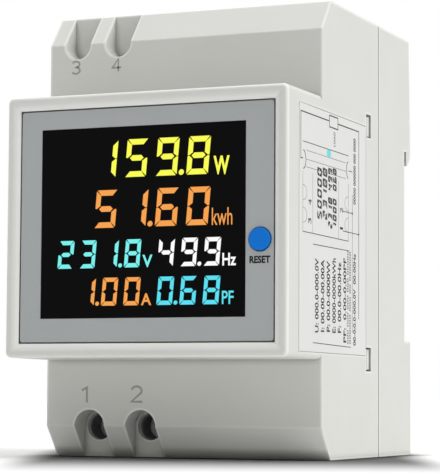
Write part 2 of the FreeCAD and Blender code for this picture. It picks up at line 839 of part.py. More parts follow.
def make_reset_button():
    """Cap, flange behind the nose floor and stem down to the switch."""
    centre = ("button_place", "button_rise")
    flange_face = "nose_floor + 2 * fit"
    body = new_body("reset_button")
    pad(body, "y", "button_face", flange_face, disc(*centre, "button_diameter / 2"))
    front = reach(body.Shape, "y")[0]
    fillet(body, "button_round", lambda edge: reach(edge, "y")[1] < front + NEAR)
    pad(body, "y", flange_face, f"{flange_face} + button_flange_wall", disc(*centre, "button_flange"))
    pad(body, "y", f"{flange_face} + button_flange_wall", "plunger_face", disc(*centre, "button_stem"))
    return body


def make_switch():
    centre = ("button_place", "button_rise")
    case = cut("tact_switch",
               block("tact_switch_case",
                     ("button_place - switch_width / 2", "button_place + switch_width / 2"),
                     ("switch_face", "display_board_face"),
                     ("button_rise - switch_height / 2", "button_rise + switch_height / 2")),
               [rod("tact_switch_well", "y", centre, "switch_face - fit",
                    "switch_face + plunger_root + button_travel + fit", "plunger_radius + fit")])
    plunger = rod("tact_plunger", "y", centre, "plunger_face", "switch_face + plunger_root",
                  "plunger_radius")
    return [case, plunger]


# The boards behind, with what is soldered to them.

def make_main_board():
    blank = block("main_board_blank", ("-main_board_side", "main_board_side"),
                  ("main_board_face", "main_board_back"), ("main_board_low", "main_board_high"))
    holes = [rod(f"main_board_hole_{number}", "y", (x, z), "main_board_face - fit",
                 "main_board_back + fit", "board_screw / 2 + fit")
             for number, (x, z) in enumerate(POSTS, start=1)]
    slots = [block(f"main_board_slot_{name}",
                   (f"{x} - bar_pin / 2 - fit", f"{x} + bar_pin / 2 + fit"),
                   ("main_board_face - fit", "main_board_back + fit"),
                   ("block_high", "block_high + bar_thickness + 2 * fit"))
             for name, x in TERMINALS.items()]
    board = cut("main_board", blank, holes + slots)
    screws = []
    for number, (x, z) in enumerate(POSTS, start=1):
        head = rod(f"board_screw_head_{number}", "y", (x, z),
                   "main_board_face - board_screw_head_wall", "main_board_face",
                   "board_screw_head / 2")
        shank = rod(f"board_screw_shank_{number}", "y", (x, z), "main_board_face",
                    "main_board_back + board_screw_length - fit", "board_screw / 2")
        screws.append(join(f"board_screw_{number}", [head, shank]))
    return [board, group("main_board_screws", screws)]


def make_link_board():
    """Upright board that joins the display board to the main board, with the metering chip."""
    link = block("link_board", ("link_place", "link_side"),
                 ("display_board_back", "main_board_face"), ("link_low", "link_high"))
    chip = block("metering_chip", ("link_side", "link_side + chip_wall"),
                 ("shroud", "shroud + chip_side"), ("middle - chip_side", "middle + chip_side"))
    crystal = rod("crystal", "z", ("link_place - crystal_radius", "shroud"),
                  "middle", "middle + crystal_length", "crystal_radius")
    return [link, chip, crystal]


def make_power_parts():
    """Supply parts on the front of the main board: dropper, rectifier, smoothing, protection."""
    face = "main_board_face"
    left = "-post_place"
    dropper = block("dropper_capacitor",
                    ("link_place - wall - dropper_width", "link_place - wall"),
                    (f"{face} - dropper_depth", face),
                    ("middle + wall", "middle + wall + dropper_height"))
    smoothing = rod("smoothing_capacitor", "y",
                    ("-post_place / 2", "main_board_high - 3 * capacitor_radius"),
                    f"{face} - capacitor_length", face, "capacitor_radius")
    varistor = rod("varistor", "x",
                   (f"{face} - varistor_radius", "varistor_low + varistor_radius"),
                   "-post_place / 2 - varistor_wall / 2", "-post_place / 2 + varistor_wall / 2",
                   "varistor_radius")
    resistor = rod("fuse_resistor", "z",
                   ("link_place - wall - resistor_radius", f"{face} - resistor_radius"),
                   "resistor_low", "resistor_low + resistor_length", "resistor_radius")
    rectifier = block("bridge_rectifier", (left, f"{left} + rectifier_width"),
                      (f"{face} - rectifier_depth", face),
                      ("middle - rectifier_height - wall", "middle - wall"))
    return [dropper, smoothing, varistor, resistor, rectifier]


def ring(label, centre, low, high, outer, inner):
    return cut(label, rod(f"{label}_bar", "z", centre, low, high, outer),
               [rod(f"{label}_bore", "z", centre, f"{low} - fit", f"{high} + fit", inner)])


def make_wire_tunnel():
    """Sleeve for the measured wire, and the ring transformer that sits round it."""
    centre = ("tunnel_place", "tunnel_middle")
    sleeve = ring("wire_tunnel", centre, "0", "height", "tunnel_outer", "tunnel_bore / 2")
    core_low = "sensor_low + core_cover"
    core_high = "sensor_high - core_cover"
    core = ring("sensor_core", centre, core_low, core_high, "core_outer", "core_inner")
    hollow = ring("sensor_winding_hollow", centre, core_low, core_high, "core_outer", "core_inner")
    coil = ring("sensor_winding_form", centre, "sensor_low", "sensor_high", "sensor_radius",
                "winding_inner")
    winding = cut("sensor_winding", coil, [hollow])
    bracket = cut("sensor_bracket",
                  block("sensor_bracket_blank",
                        ("tunnel_place - bracket_width / 2", "tunnel_place + bracket_width / 2"),
                        ("tunnel_middle - winding_inner - wall", "main_board_face"),
                        ("sensor_low - bracket_wall", "sensor_low")),
                  [rod("sensor_bracket_bore", "z", centre, "sensor_low - bracket_wall - fit",
                       "sensor_low + fit", "winding_inner")])
    return [sleeve, core, winding, bracket]


# The two screw terminals.

def make_terminal_block():
    blank = block("terminal_block_blank",
                  (f"{TERMINALS['1']} - cage_width / 2 - block_wall",
                   f"{TERMINALS['2']} + cage_width / 2 + block_wall"),
                  ("block_face", "main_board_face"), ("block_low", "block_high"))
    tools = []
    for name, x in TERMINALS.items():
        centre = (x, "screw_rise")
        tools += [
            rod(f"screw_well_{name}", "y", centre, "block_face - fit", "screw_seat",
                "screw_head / 2 + fit"),
            rod(f"screw_passage_{name}", "y", centre, "screw_seat - fit", "chamber_face + fit",
                "screw_shank / 2 + fit"),
            block(f"cage_chamber_{name}",
                  (f"{x} - cage_width / 2 - 3 * fit", f"{x} + cage_width / 2 + 3 * fit"),
                  ("chamber_face", "chamber_back"), ("block_low - fit", "cage_high + 3 * fit")),
            block(f"bar_slot_{name}", (f"{x} - bar_width / 2 - fit", f"{x} + bar_width / 2 + fit"),
                  ("bar_face - fit", "bar_back + fit"), ("cage_high", "block_high + fit")),
        ]
    return cut("terminal_block", blank, tools)


def make_terminal(name, x):
    """Screw, rising cage and contact bar of one pole."""
    screw = new_body(f"terminal_screw_{name}")
    centre = (x, "screw_rise")
    pad(screw, "y", "screw_face", "screw_seat - fit", disc(*centre, "screw_head / 2"))
    pad(screw, "y", "screw_seat - fit", "bar_face - fit / 2", disc(*centre, "screw_shank / 2"))
    slot = "screw_slot / 2"
    arm = "screw_slot_length / 2"
    pocket(screw, "y", "screw_face - fit", "screw_face + screw_slot_depth",
           box(f"{x} - {slot}", f"{x} + {slot}", f"screw_rise - {arm}", f"screw_rise + {arm}"))
    pocket(screw, "y", "screw_face - fit", "screw_face + screw_slot_depth",
           box(f"{x} - {arm}", f"{x} + {arm}", f"screw_rise - {slot}", f"screw_rise + {slot}"))
    cage = new_body(f"terminal_cage_{name}")
    pad(cage, "z", "cage_low", "cage_high",
        box(f"{x} - cage_width / 2", f"{x} + cage_width / 2", "cage_face", "cage_back"),
        box(f"{x} - cage_width / 2 + cage_side", f"{x} + cage_width / 2 - cage_side",
            "cage_face + cage_plate", "cage_grip"))
    pocket(cage, "y", "cage_face - fit", "cage_face + cage_plate + fit",
           disc(*centre, "screw_shank / 2 + fit / 2"))
    across = (f"{x} - bar_width / 2", f"{x} + bar_width / 2")
    leg = ("block_high + fit", "block_high + fit + bar_thickness")
    bar = join(f"terminal_bar_{name}", [
        block(f"bar_upright_{name}", across, ("bar_face", "bar_back"),
              ("cage_low + fit", "block_high + fit + bar_thickness")),
        block(f"bar_leg_{name}", across, ("bar_face", "main_board_face"), leg),
        block(f"bar_pin_{name}", (f"{x} - bar_pin / 2", f"{x} + bar_pin / 2"),
              ("main_board_face - fit", "main_board_face + bar_pin_length"), leg),
    ])
    return [screw, cage, bar]


def make_side_label():
    outer = "side - label_recess + label_thickness"
    return block("side_label", ("side - label_recess", outer), ("label_front", "label_back"),
                 ("label_low", "label_high"))


pieces = [
    make_front_housing(),
    make_rear_base(),
    make_rail_latch(),
    make_latch_spring(),
    make_panel_overlay(),
    make_display_window(),
    make_lcd_glass(),
    make_lcd_frame(),
    *make_backlight(),
    *make_display_board(),
    make_reset_button(),
    *make_switch(),
    *make_main_board(),
    *make_link_board(),
    *make_power_parts(),
    *make_wire_tunnel(),
    make_terminal_block(),
    *[piece for name, x in TERMINALS.items() for piece in make_terminal(name, x)],
    make_side_label(),
]
doc.recompute()

faults = [thing.Label for thing in doc.Objects
          if {"Invalid", "Error"} & set(thing.State)]
faults += [piece.Label for piece in pieces if piece.Shape.isNull() or not piece.Shape.isValid()]
if faults:
    raise RuntimeError("not sound: " + ", ".join(faults))

os.makedirs("parts", exist_ok=True)
for piece in pieces:
    piece.Shape.exportStep(f"parts/{piece.Label}.step")
    solids = len(piece.Shape.Solids)
    print(f"{piece.Label}: {solids} solid(s), {piece.Shape.Volume:.1f} mm3")
print(f"{len(pieces)} pieces written")
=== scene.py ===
"""Looks of the rail-mounted power meter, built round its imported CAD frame.

Blender's units are metres. Sizes below are written in millimetres and turned to metres by MM.
On the front, places are (across, up). On the side, they are (depth from the front face, up).
"""
import bpy
import bmesh
import json
import math
from mathutils import Matrix, Vector


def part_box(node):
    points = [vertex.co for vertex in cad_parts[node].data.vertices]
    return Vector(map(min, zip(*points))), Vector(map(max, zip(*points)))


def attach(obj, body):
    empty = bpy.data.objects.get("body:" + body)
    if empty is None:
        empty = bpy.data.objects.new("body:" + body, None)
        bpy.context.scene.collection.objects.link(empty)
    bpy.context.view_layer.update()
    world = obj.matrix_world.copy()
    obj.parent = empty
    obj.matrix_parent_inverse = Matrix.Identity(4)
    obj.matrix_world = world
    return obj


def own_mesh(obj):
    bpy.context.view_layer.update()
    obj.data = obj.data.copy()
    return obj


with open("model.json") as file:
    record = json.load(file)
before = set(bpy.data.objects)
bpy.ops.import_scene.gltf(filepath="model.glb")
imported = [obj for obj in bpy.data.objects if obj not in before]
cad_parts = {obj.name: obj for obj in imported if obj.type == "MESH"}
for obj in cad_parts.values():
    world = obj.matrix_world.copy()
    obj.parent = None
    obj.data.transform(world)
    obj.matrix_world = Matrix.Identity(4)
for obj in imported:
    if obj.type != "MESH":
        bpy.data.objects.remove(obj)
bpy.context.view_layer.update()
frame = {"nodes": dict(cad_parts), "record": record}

MM = 0.001


# The camera that the photograph's corners and edges were fitted to, in mm and degrees.

CAMERA_PLACE = (147.09, -348.83, 10.08)
CAMERA_YAW = 22.83
CAMERA_PITCH = 4.5
CAMERA_ROLL = 0.32
CAMERA_LENS = 156.5


def make_camera():
    """The scene's camera, with no lens shift and no depth of field."""
    camera = bpy.data.objects.new("camera", bpy.data.cameras.new("camera"))
    bpy.context.scene.collection.objects.link(camera)
    camera.data.lens = CAMERA_LENS
    camera.data.clip_start = 10 * MM
    camera.data.clip_end = 100
    camera.matrix_world = (
        Matrix.Translation(Vector(CAMERA_PLACE) * MM)
        @ Matrix.Rotation(math.radians(CAMERA_YAW), 4, "Z")
        @ Matrix.Rotation(math.radians(90 + CAMERA_PITCH), 4, "X")
        @ Matrix.Rotation(math.radians(CAMERA_ROLL), 4, "Z")
    )
    bpy.context.scene.camera = camera


make_camera()


# Shader nodes.

def linear(code):
    """An sRGB colour written in hex, as the linear colour that the shaders use."""
    parts = [int(code[start:start + 2], 16) / 255 for start in (0, 2, 4)]
    return tuple(c / 12.92 if c <= 0.04045 else ((c + 0.055) / 1.055) ** 2.4 for c in parts) + (1.0,)


def add(tree, kind, inputs=None, **settings):
    """Adds one shader node. An input is a value, or the output of another node to link from."""
    node = tree.nodes.new("ShaderNode" + kind)
    for name, value in settings.items():
        setattr(node, name, value)
    for socket, value in (inputs or {}).items():
        if isinstance(value, bpy.types.NodeSocket):
            tree.links.new(value, node.inputs[socket])
        else:
            node.inputs[socket].default_value = value
    return node


def new_tree(name):
    """A new material, its node tree and its main shader."""
    material = bpy.data.materials.new(name)
    material.use_nodes = True
    tree = material.node_tree
    return material, tree, tree.nodes["Principled BSDF"]


def per_mm(size):
    """The scale of a texture whose features are this many millimetres across."""
    return 1 / (size * MM)


def surface(name, colour, shade, patch, grain, depth, gloss, edge=0.15, stretch=(1, 1, 1), **fixed):
    """A finish whose colour drifts from colour to shade and whose grain and edges catch the light.

    patch is the size of the tone's patches, grain and depth the width and height of the surface's
    grain, and edge the rounding of its edges, all in mm. gloss is the least and greatest roughness.
    stretch draws the grain out along an axis where it is below 1. fixed are sockets of the shader.
    """
    material, tree, shader = new_tree(name)
    place = add(tree, "TexCoord").outputs["Object"]
    drift = add(tree, "TexNoise", {"Vector": place, "Scale": per_mm(patch), "Detail": 3.0})
    tone = add(tree, "Mix", {0: drift.outputs["Fac"], 6: linear(colour), 7: linear(shade)},
               data_type="RGBA")
    drawn = add(tree, "Mapping", {"Vector": place, "Scale": stretch})
    pits = add(tree, "TexNoise", {"Vector": drawn.outputs[0], "Scale": per_mm(grain), "Detail": 4.0})
    polish = add(tree, "MapRange", {"Value": pits.outputs["Fac"], "From Min": 0.3, "From Max": 0.7,
                                    "To Min": gloss[0], "To Max": gloss[1]})
    edges = add(tree, "Bevel", {"Radius": edge * MM}, samples=4)
    relief = add(tree, "Bump", {"Height": pits.outputs["Fac"], "Distance": depth * MM,
                                "Normal": edges.outputs[0]})
    tree.links.new(tone.outputs[2], shader.inputs["Base Color"])
    tree.links.new(polish.outputs[0], shader.inputs["Roughness"])
    tree.links.new(relief.outputs[0], shader.inputs["Normal"])
    for socket, value in fixed.items():
        shader.inputs[socket.replace("_", " ")].default_value = value
    return material


def nearness(tree, reach, none, full, most, inside=False):
    """A share from 0 on open faces to most where other faces lie within reach, in mm.

    With inside, the faces are sought through the material, so that it grows towards outer edges.
    none and full are the free shares of the view at which it starts and is complete.
    """
    free = add(tree, "AmbientOcclusion", {"Distance": reach * MM}, inside=inside, samples=8)
    return add(tree, "MapRange", {"Value": free.outputs["AO"], "From Min": none, "From Max": full,
                                  "To Max": most}).outputs[0]


# Faces of the casing that the finishes and the prints are laid out from, in mm: depths along Y,
# and the label's place along X.

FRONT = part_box("front_housing")[0].y / MM
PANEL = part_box("panel_overlay")[0].y / MM
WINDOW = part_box("display_window")[0].y / MM
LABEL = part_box("side_label")[1].x / MM
SHROUD_SETBACK = 16.2
SHROUD = FRONT + SHROUD_SETBACK


# Finishes of the casing and of what shows from outside.

BEVEL_DEPTH = PANEL - FRONT
BEVEL_FULL = FRONT + 0.6 * BEVEL_DEPTH
BEVEL_END = FRONT + 1.05 * BEVEL_DEPTH
# Shares of painted highlight on the rim's face and down the bevel round the panel.
RIM_HIGHLIGHT = 0.12
BEVEL_HIGHLIGHT = 0.62


def bevel_highlight_share(tree):
    """A share of painted highlight that is low on the rim's face, grows down the bevel to the panel
    and ends there.
    """
    place = add(tree, "TexCoord").outputs["Object"]
    depth = add(tree, "SeparateXYZ", {0: place}).outputs["Y"]
    grown = add(tree, "MapRange", {"Value": depth, "From Min": FRONT * MM,
                                   "From Max": BEVEL_FULL * MM,
                                   "To Min": RIM_HIGHLIGHT, "To Max": BEVEL_HIGHLIGHT})
    ahead = add(tree, "Math", {0: depth, 1: BEVEL_END * MM}, operation="LESS_THAN")
    share = add(tree, "Math", {0: grown.outputs[0], 1: ahead.outputs[0]}, operation="MULTIPLY")
    return share.outputs[0]


def abs_moulded():
    """Light warm-grey ABS, moulded in a spark-eroded tool: matt and even, with a fine grain.

    The real grain is about 0.1 mm wide, and is drawn at 0.3 mm so that it shows. Along the outer
    edges a painted highlight 0.4 mm wide makes them paler than the faces, and a painted highlight
    grows down the bevel round the panel. Narrow recesses are darkened with painted shade.
    """
    material = surface("abs_spark_eroded_mould", "D6D7D2", "CFD0CA", patch=14, grain=0.3,
                       depth=0.006, gloss=(0.42, 0.56), edge=0.25, Specular_IOR_Level=0.4)
    tree = material.node_tree
    colour = tree.nodes["Principled BSDF"].inputs["Base Color"]
    faces = colour.links[0].from_socket
    # Painted highlight: a paler colour along the outer edges and down the bevel round the panel.
    painted_edge_highlight = nearness(tree, reach=0.4, none=0.99, full=0.86, most=0.55, inside=True)
    painted_highlight = add(tree, "Math", {0: painted_edge_highlight, 1: bevel_highlight_share(tree)}, operation="MAXIMUM")
    pale = add(tree, "Mix", {0: painted_highlight.outputs[0], 6: faces, 7: linear("F8F7F3")},
               data_type="RGBA")
    # Painted shade: a darker colour in narrow recesses, where other faces lie within 2.5 mm.
    painted_recess_shade = nearness(tree, reach=2.5, none=0.75, full=0.3, most=0.75)
    both = add(tree, "Mix", {0: painted_recess_shade, 6: pale.outputs[2], 7: linear("6C6E67")}, data_type="RGBA")
    tree.links.new(both.outputs[2], colour)
    return material


def nylon_moulded():
    """Grey nylon, moulded: a little darker and waxier than the casing that it slides in."""
    return surface("nylon_moulded", "B9BAB4", "AFB0AA", patch=8, grain=0.4, depth=0.004,
                   gloss=(0.34, 0.44), IOR=1.53)


def film_screen_printed():
    """Grey ink on the back of a satin polycarbonate film: flat, with a soft even sheen.

    The film's velvet texture is 0.05 mm wide, and is drawn at 0.25 mm so that it shows.
    """
    return surface("polycarbonate_film_printed_grey", "ACB0B0", "A8ACAC", patch=20, grain=0.25,
                   depth=0.002, gloss=(0.36, 0.46), edge=0.1, IOR=1.58, Specular_IOR_Level=0.35)


def acrylic_black():
    """Black-backed acrylic with an anti-glare coat: deep black that hardly mirrors anything."""
    return surface("acrylic_black_anti_glare", "0A0A0A", "0C0C0C", patch=12, grain=0.25,
                   depth=0.0008, gloss=(0.28, 0.34), edge=0.08, IOR=1.49, Specular_IOR_Level=0.03)


def abs_button():
    """Blue ABS, moulded in a polished tool: satin, with the light caught on its rounded edge."""
    return surface("abs_blue_polished_mould", "087ADF", "0674D6", patch=2.5, grain=0.3, depth=0.004,
                   gloss=(0.3, 0.4), edge=0.3, Specular_IOR_Level=0.15)


def lit_segment(name, colour, shade):
    """Lit cells of the display: an even glow, a little weaker where the backlight thins out.

    The cells' own mesh of about 0.1 mm is drawn at 0.4 mm as a faint unevenness.
    """
    material, tree, shader = new_tree(name)
    place = add(tree, "TexCoord").outputs["Object"]
    spread = add(tree, "TexNoise", {"Vector": place, "Scale": per_mm(6), "Detail": 2.0})
    cells = add(tree, "TexNoise", {"Vector": place, "Scale": per_mm(0.4), "Detail": 1.0})
    both = add(tree, "Math", {0: spread.outputs["Fac"], 1: cells.outputs["Fac"]},
               operation="MULTIPLY")
    glow = add(tree, "Mix", {0: both.outputs[0], 6: linear(colour), 7: linear(shade)},
               data_type="RGBA")
    tree.links.new(glow.outputs[2], shader.inputs["Emission Color"])
    shader.inputs["Emission Strength"].default_value = 1.0
    shader.inputs["Base Color"].default_value = linear("0C0C0C")
    shader.inputs["Roughness"].default_value = 0.4
    shader.inputs["Specular IOR Level"].default_value = 0.06
    return material


def ink(name, colour, shade):
    """Printed ink: a thin matt layer, a little uneven from the mesh of the screen.

    The screen's threads are 0.06 mm apart, and are drawn at 0.3 mm so that they show.
    """
    return surface(name, colour, shade, patch=1.2, grain=0.3, depth=0.001, gloss=(0.5, 0.62),
                   edge=0.02, Specular_IOR_Level=0.15)


def polyester_label():
    """White polyester label: smoother than the casing, with a faint satin sheen."""
    return surface("polyester_label_satin", "DADAD7", "D5D5D2", patch=16, grain=0.5, depth=0.0015,
                   gloss=(0.3, 0.42), edge=0.05, Specular_IOR_Level=0.45)


# Finishes of what lies inside.

def pbt_dark():
    """Dark grey glass-filled PBT, moulded: matt, with faint streaks where the fibres flowed."""
    return surface("pbt_glass_filled_grey", "5C5E5A", "666864", patch=3, grain=0.3, depth=0.008,
                   gloss=(0.5, 0.66), stretch=(1, 1, 0.25))


def polycarbonate_white():
    """White polycarbonate, moulded: bright, to throw the backlight forward."""
    return surface("polycarbonate_white_mould", "E9E9E5", "E0E0DC", patch=9, grain=0.4, depth=0.003,
                   gloss=(0.36, 0.46), IOR=1.58)


def acetal_black():
    """Black acetal, moulded: smooth and slightly waxy, as a switch's plunger is."""
    return surface("acetal_black_mould", "1A1A1A", "212121", patch=2, grain=0.2, depth=0.002,
                   gloss=(0.3, 0.4))


def epoxy_moulded():
    """Black epoxy moulding compound: dull, with a fine sandy grain from its silica filler."""
    return surface("epoxy_compound_black", "191919", "222221", patch=4, grain=0.15, depth=0.006,
                   gloss=(0.6, 0.75))


def solder_mask_board():
    """Glass-epoxy board under green solder mask: copper tracks show as raised, lighter runs.

    The tracks are 0.4 mm wide at a pitch near 2.5 mm, and the mask makes the board glossy.
    """
    material, tree, shader = new_tree("glass_epoxy_board_green_mask")
    place = add(tree, "TexCoord").outputs["Object"]
    turned = add(tree, "Mapping", {"Vector": place, "Rotation": (math.radians(90), 0, 0)})
    tracks = add(tree, "TexBrick", {"Vector": turned.outputs[0], "Scale": per_mm(5),
                                    "Mortar Size": 0.04, "Mortar Smooth": 0.2,
                                    "Color1": linear("0F5A2C"), "Color2": linear("115F30"),
                                    "Mortar": linear("2F8F4C")})
    edges = add(tree, "Bevel", {"Radius": 0.1 * MM}, samples=4)
    relief = add(tree, "Bump", {"Height": tracks.outputs["Fac"], "Distance": 0.03 * MM,
                                "Normal": edges.outputs[0]})
    tree.links.new(tracks.outputs["Color"], shader.inputs["Base Color"])
    tree.links.new(relief.outputs[0], shader.inputs["Normal"])
    shader.inputs["Roughness"].default_value = 0.28
    shader.inputs["Coat Weight"].default_value = 0.4
    return material


def display_glass():
    """Two clear float-glass plates with a faint grey of the polariser."""
    return surface("float_glass_polarised", "C9CFCC", "BFC6C3", patch=10, grain=2.0, depth=0.0005,
                   gloss=(0.02, 0.06), edge=0.05, IOR=1.52, Transmission_Weight=0.85)


def acrylic_diffuser():
    """Milky acrylic: lit from behind it glows evenly, unlit it is a soft white."""
    return surface("acrylic_milky", "EDEDE9", "E4E4E1", patch=8, grain=0.5, depth=0.002,
                   gloss=(0.4, 0.5), IOR=1.49, Subsurface_Weight=0.2)


def phosphor_gel():
    """Yellow phosphor gel in a white diode package, smooth and a little glossy."""
    return surface("phosphor_gel_yellow", "E4DC8A", "DED57A", patch=1, grain=0.3, depth=0.002,
                   gloss=(0.2, 0.3))


def steel_zinc_plated():
    """Zinc-plated steel: bright, slightly blue, with fine turning marks."""
    return surface("steel_zinc_plated", "C6C8CB", "B4B7BC", patch=1.5, grain=0.12, depth=0.003,
                   gloss=(0.25, 0.4), stretch=(1, 0.1, 1), edge=0.1, Metallic=1.0)


def steel_drawn():
    """Drawn spring wire: dark bright steel with streaks along its turns."""
    return surface("spring_steel_drawn", "A6A8AA", "8E9092", patch=0.8, grain=0.1, depth=0.002,
                   gloss=(0.25, 0.38), stretch=(0.3, 0.3, 1), edge=0.02, Metallic=1.0)


def brass_rolled():
    """Rolled brass strip: warm, with long fine lines from the rolls."""
    return surface("brass_rolled_strip", "D9B36A", "C79E55", patch=2, grain=0.1, depth=0.002,
                   gloss=(0.24, 0.36), stretch=(1, 1, 0.08), edge=0.08, Metallic=1.0)


def nickel_can():
    """Drawn nickel-plated can: bright and nearly mirror smooth."""
    return surface("nickel_can_drawn", "D5D3CD", "CBC9C2", patch=2, grain=0.3, depth=0.001,
                   gloss=(0.12, 0.2), edge=0.1, Metallic=1.0)


def polyester_box():
    """Brick-red flame-proof box of a film capacitor, moulded smooth."""
    return surface("film_capacitor_box_moulded", "A8402A", "9C3924", patch=6, grain=0.4,
                   depth=0.002, gloss=(0.28, 0.36), edge=0.3)


def shrink_sleeve():
    """Dark blue PVC sleeve, shrunk on: glossy, tight and slightly wavy."""
    return surface("pvc_sleeve_shrunk", "1C2748", "222E52", patch=3, grain=1.2, depth=0.02,
                   gloss=(0.2, 0.28), edge=0.3)


def epoxy_dipped():
    """Blue epoxy powder, dipped and baked: glossy and lumpy."""
    return surface("epoxy_dipped_blue", "2C5FA0", "25548F", patch=4, grain=1.0, depth=0.05,
                   gloss=(0.22, 0.32), edge=0.5)


def lacquer_dipped():
    """Grey-green flame-proof lacquer on a wire-wound resistor."""
    return surface("resistor_lacquer_dipped", "A0B5A8", "93A99B", patch=3, grain=0.6, depth=0.02,
                   gloss=(0.4, 0.5), edge=0.5)


def ferrite_sintered():
    """Sintered ferrite: charcoal, dull, with a fine gritty skin."""
    return surface("ferrite_sintered", "3A3A3C", "444446", patch=3, grain=0.2, depth=0.01,
                   gloss=(0.55, 0.7), edge=0.3)


WINDING_TURNS = 96


def copper_wound():
    """Enamelled copper wire, wound round the ring: orange-brown, ribbed turn by turn.

    The wire is about 0.3 mm thick, and 96 bundles of turns are drawn round the ring. The grooves
    between the turns are darkened with painted shade.
    """
    material, tree, shader = new_tree("copper_enamelled_winding")
    low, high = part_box("sensor_winding")
    middle = (low + high) / 2
    place = add(tree, "TexCoord").outputs["Object"]
    centred = add(tree, "VectorMath", {0: place, 1: middle}, operation="SUBTRACT")
    turn = add(tree, "TexGradient", {"Vector": centred.outputs[0]}, gradient_type="RADIAL")
    angle = add(tree, "Math", {0: turn.outputs["Fac"], 1: 2 * math.pi * WINDING_TURNS},
                operation="MULTIPLY")
    ribs = add(tree, "Math", {0: angle.outputs[0]}, operation="SINE")
    share = add(tree, "MapRange", {"Value": ribs.outputs[0], "From Min": -1.0})
    # Painted shade: the colour is darker where the ribs are low, in the grooves between turns.
    tone = add(tree, "Mix", {0: share.outputs[0], 6: linear("6E3014"), 7: linear("C46A33")},
               data_type="RGBA")
    relief = add(tree, "Bump", {"Height": share.outputs[0], "Distance": 0.12 * MM})
    tree.links.new(tone.outputs[2], shader.inputs["Base Color"])
    tree.links.new(relief.outputs[0], shader.inputs["Normal"])
    shader.inputs["Metallic"].default_value = 0.6
    shader.inputs["Roughness"].default_value = 0.32
    shader.inputs["Coat Weight"].default_value = 0.5
    return material


FINISHES = {
    "housing_plastic": abs_moulded(),
    "latch_plastic": nylon_moulded(),
    "panel_film": film_screen_printed(),
    "display_black": acrylic_black(),
    "button_plastic": abs_button(),
    "display_yellow": lit_segment("display_cells_yellow", "FDFF5A", "F4F63C"),
    "display_orange": lit_segment("display_cells_orange", "F9A653", "F0973F"),
    "display_cyan": lit_segment("display_cells_cyan", "80F4F1", "62E6E4"),
    "display_blue": lit_segment("display_cells_sky_blue", "5EE2F3", "46D2E8"),
    "display_white": lit_segment("display_cells_white", "FFFFFF", "F2F2F2"),
    "marking_ink": ink("marking_ink_grey", "A3A39C", "9B9B94"),
    "label_film": polyester_label(),
    "label_ink": ink("label_ink_dark", "141414", "1C1C1C"),
    "label_mark": ink("label_ink_cyan", "5FD3D8", "74DDE0"),
    "block_plastic": pbt_dark(),
    "frame_plastic": polycarbonate_white(),
    "plunger_plastic": acetal_black(),
    "chip_resin": epoxy_moulded(),
    "circuit_board": solder_mask_board(),
    "lcd_glass": display_glass(),
    "diffuser_acrylic": acrylic_diffuser(),
    "led_package": phosphor_gel(),
    "plated_steel": steel_zinc_plated(),
    "spring_steel": steel_drawn(),
    "contact_brass": brass_rolled(),
    "crystal_can": nickel_can(),
    "film_capacitor_case": polyester_box(),
    "capacitor_sleeve": shrink_sleeve(),
    "varistor_coating": epoxy_dipped(),
    "resistor_body": lacquer_dipped(),
    "ferrite": ferrite_sintered(),
    "enamelled_copper": copper_wound(),
}


def dress(piece, slot):
    """Gives a piece the finish of its material slot, in place of what it came with."""
    piece.data.materials.clear()
    piece.data.materials.append(FINISHES[slot])


for subpart in frame["record"]["subparts"]:
    dress(frame["nodes"][subpart["node"]], subpart["material_slot"])


def fold_latch_spring():
    """The spring stands on the base; here it only gets a mesh of its own."""
    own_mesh(frame["nodes"]["latch_spring"])


fold_latch_spring()


# Prints and lit cells: thin plates that lie on a face.

PRINT_RISE = 0.01
CELL_RISE = 0.02
DOT_SIDES = 24


def on_front(depth, rise):
    """Lays a plan (across, up) on a plane that faces the front, its face raised by rise."""
    return lambda across, up, out: Vector((across, depth - rise * out, up)) * MM


def on_side(place, rise):
    """Lays a plan (depth from the front, up) on a plane that faces right."""
    return lambda across, up, out: Vector((place + rise * out, FRONT + across, up)) * MM


